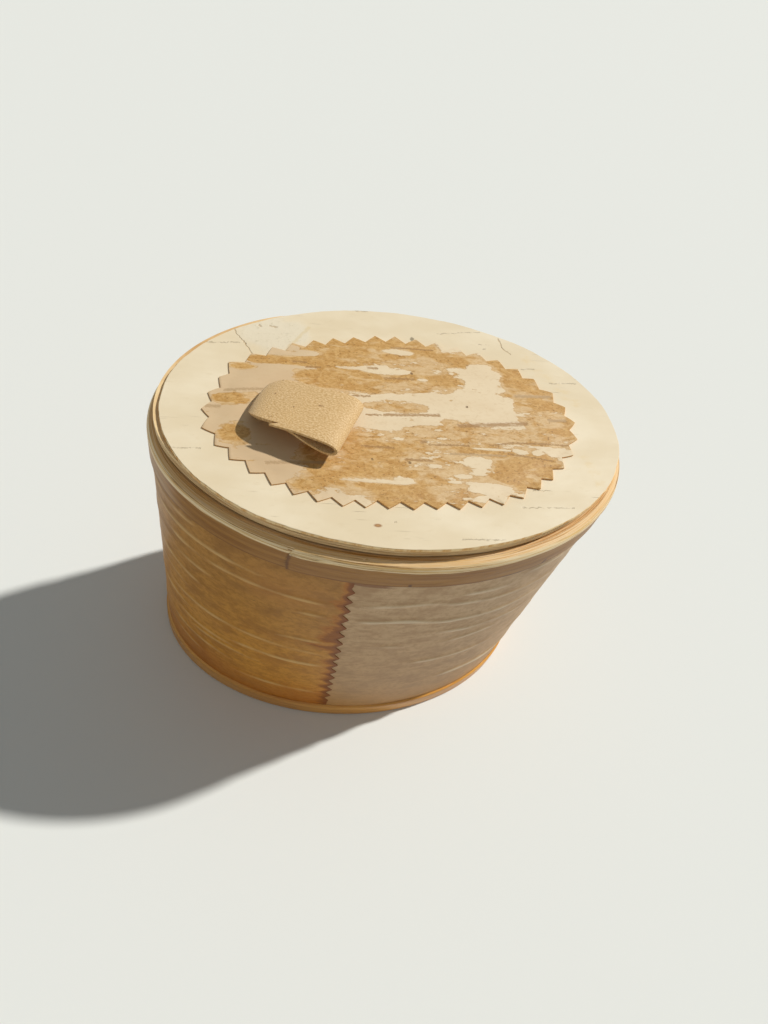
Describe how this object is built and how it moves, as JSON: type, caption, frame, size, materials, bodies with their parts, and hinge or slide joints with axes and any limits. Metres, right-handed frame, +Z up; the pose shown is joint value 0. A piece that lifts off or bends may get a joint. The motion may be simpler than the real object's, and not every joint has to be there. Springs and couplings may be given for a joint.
{
  "type": "birch bark box",
  "caption": "Oval lidded box of wrapped birch bark with a pinked lap seam, rim band, foot hoop, lift-off plug lid, pinked oval and a leather pull loop.",
  "frame": {"origin": "centre of the underside, on the surface that the box stands on", "axes": "+X along the oval's long axis, +Y along its short axis with the lap seam facing -Y, +Z up"},
  "size_m": [0.1468, 0.0968, 0.138],
  "materials": {
    "board": "planed, matt",
    "bark_inner": "smooth inner bark, satin",
    "bark_wall": "polished bark with pale ridges, satin",
    "bark_band": "bark with worn cream shoulder, satin",
    "bark_hoop": "orange-brown bark, satin",
    "bark_edge": "brown bark on edge, matt",
    "bark_cream": "smooth pale outer bark, satin",
    "bark_golden": "mottled golden bark, satin",
    "leather_tan": "grained tan leather, matt"
  },
  "bodies": {
    "box": {"base_board": "board", "inner_wall": "bark_inner", "outer_wall": "bark_wall", "rim_band": "bark_band", "foot_hoop": "bark_hoop"},
    "lid": {"lid_core": "board", "lid_edge_strip": "bark_edge", "lid_top_sheet": "bark_cream", "plug_ring": "bark_inner", "lid_lining": "bark_inner", "pinked_applique": "bark_golden", "strip_tails": "leather_tan"},
    "loop": {"pull_loop": "leather_tan"}
  },
  "joints": [
    {"name": "lid_lift", "type": "slide", "parent": "box", "child": "lid", "axis": [0, 0, 1], "range_m": [0, 0.08]},
    {"name": "loop_hinge", "type": "hinge", "parent": "lid", "child": "loop", "pos_m": [-0.0388, -0.0005, 0.1333], "axis": [-0.4384, -0.8988, 0], "range_deg": [0, 110]}
  ]
}
